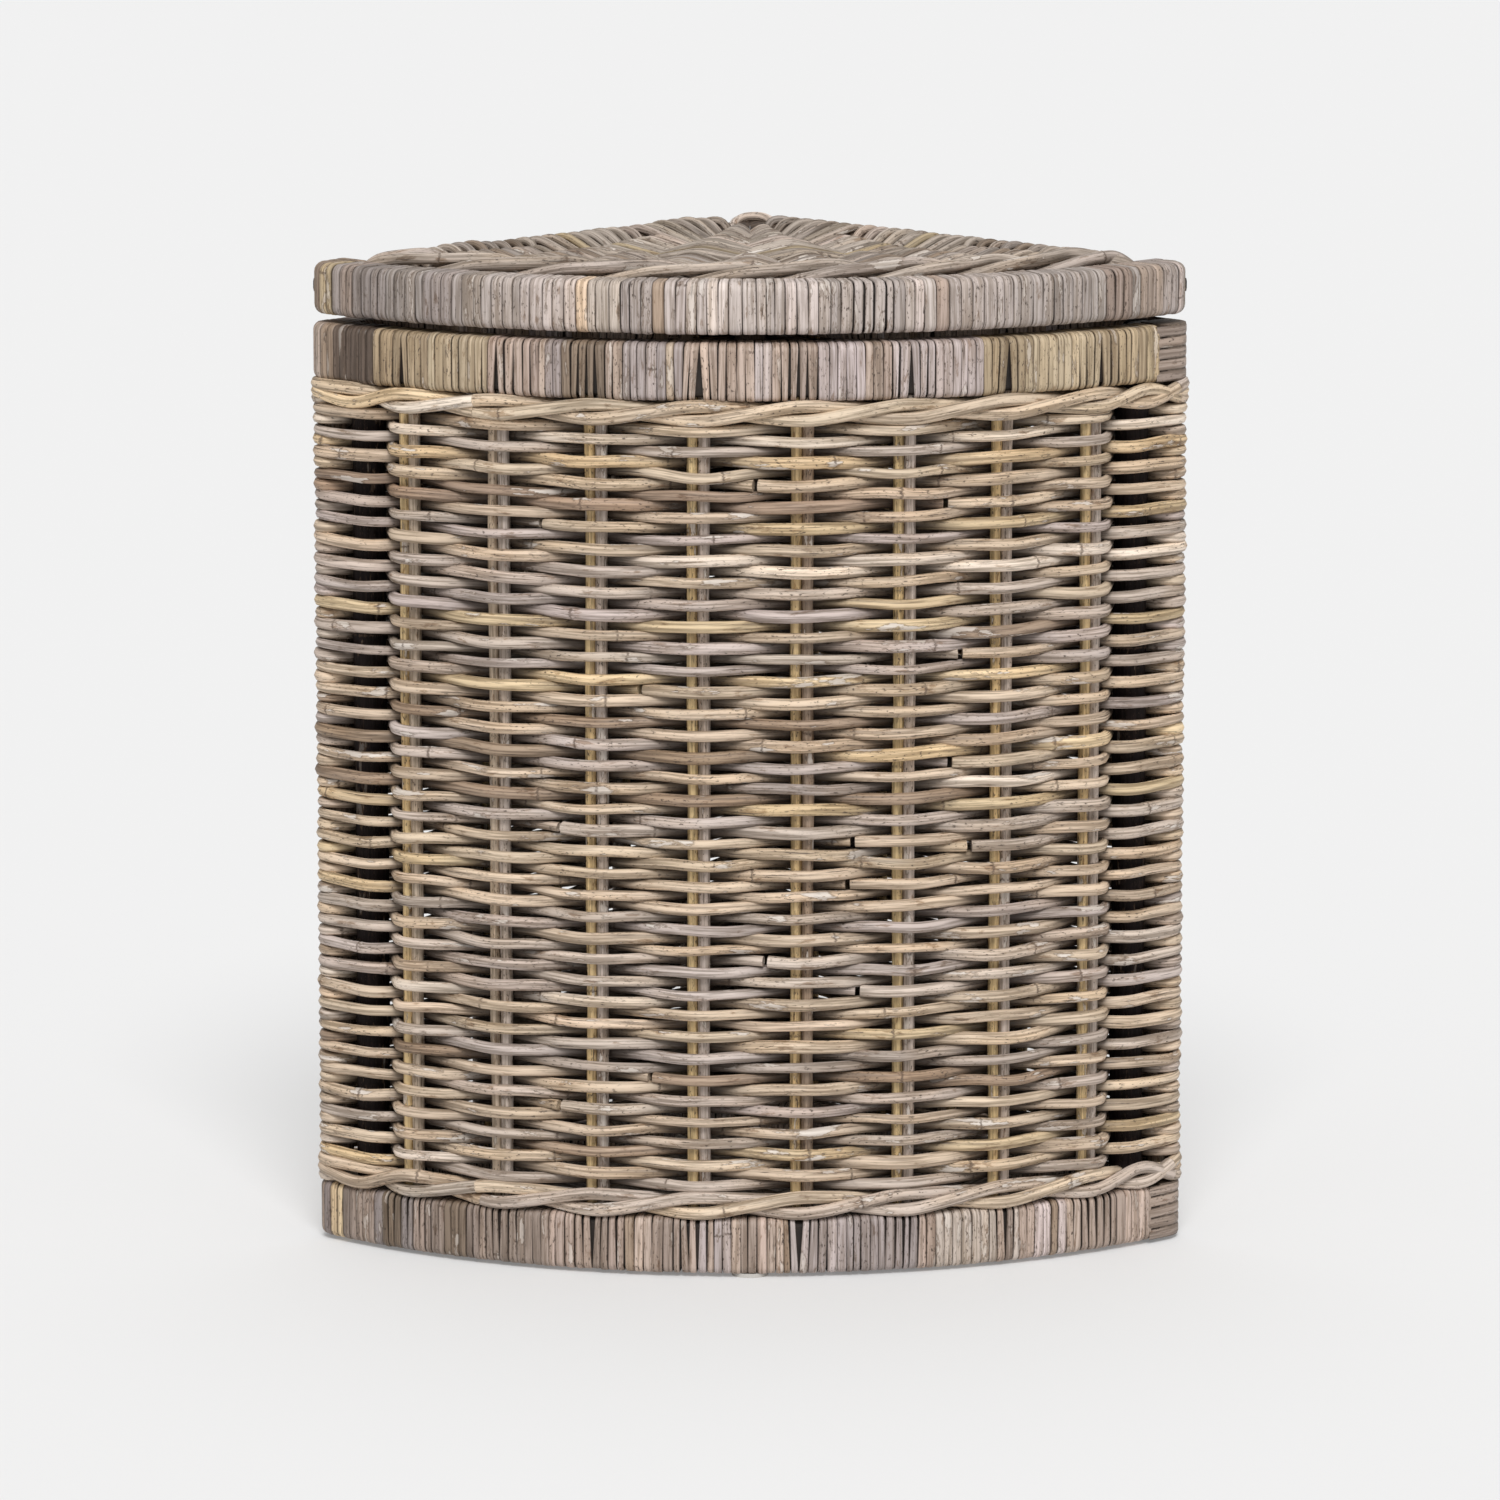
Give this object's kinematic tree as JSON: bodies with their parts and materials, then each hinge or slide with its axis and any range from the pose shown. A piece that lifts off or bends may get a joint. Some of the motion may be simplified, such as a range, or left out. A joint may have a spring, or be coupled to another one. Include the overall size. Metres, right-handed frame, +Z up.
{
  "type": "corner laundry basket",
  "caption": "Tall woven rattan laundry basket, a quarter circle in plan for the corner of a room, with a woven lid that hinges up along one straight side.",
  "frame": {"origin": "on the floor under the middle of the basket's bounding box", "axes": "+Z up, -Y towards the curved front, +Y towards the back corner where the two straight sides meet, +X to the right of someone facing the front"},
  "size_m": [0.525, 0.376, 0.6],
  "materials": {
    "rod": "satin",
    "peel": "satin",
    "pole": "satin",
    "glide": "matte"
  },
  "bodies": {
    "basket": {"glides": "glide", "base_front_rail": "pole", "base_left_rail": "pole", "base_right_rail": "pole", "base_front_binding": "peel", "base_left_binding": "peel", "base_right_binding": "peel", "base_left_corner": "peel", "base_right_corner": "peel", "base_back_corner": "peel", "base_spokes": "rod", "base_panel": "rod", "left_post": "pole", "right_post": "pole", "back_post": "pole", "left_corner_stake": "rod", "right_corner_stake": "rod", "back_corner_stake": "rod", "front_stakes": "rod", "left_stakes": "rod", "right_stakes": "rod", "low_wale": "rod", "front_weave": "rod", "left_weave": "rod", "right_weave": "rod", "left_corner_weave": "rod", "right_corner_weave": "rod", "high_wale": "rod", "top_front_rail": "pole", "top_left_rail": "pole", "top_right_rail": "pole", "top_front_binding": "peel", "top_left_binding": "peel", "top_right_binding": "peel", "top_left_corner": "peel", "top_right_corner": "peel", "top_back_corner": "peel", "hinge_canes": "pole", "body_hinge_loops": "peel"},
    "lid": {"lid_front_rail": "pole", "lid_left_pole": "pole", "lid_right_pole": "pole", "lid_front_binding": "peel", "lid_left_wrap": "rod", "lid_right_wrap": "rod", "lid_left_corner": "peel", "lid_right_corner": "peel", "lid_corner_straps": "peel", "lid_long_spokes": "rod", "lid_short_spokes": "rod", "lid_panel": "rod", "lid_wale": "rod", "lid_back_loop": "rod", "lid_hinge_loops": "peel"}
  },
  "joints": [
    {"name": "lid_hinge", "type": "hinge", "parent": "basket", "child": "lid", "pos_m": [-0.13329, 0.06842, 0.5592], "axis": [-0.7071, -0.7071, 0], "range_deg": [0, 105]}
  ]
}
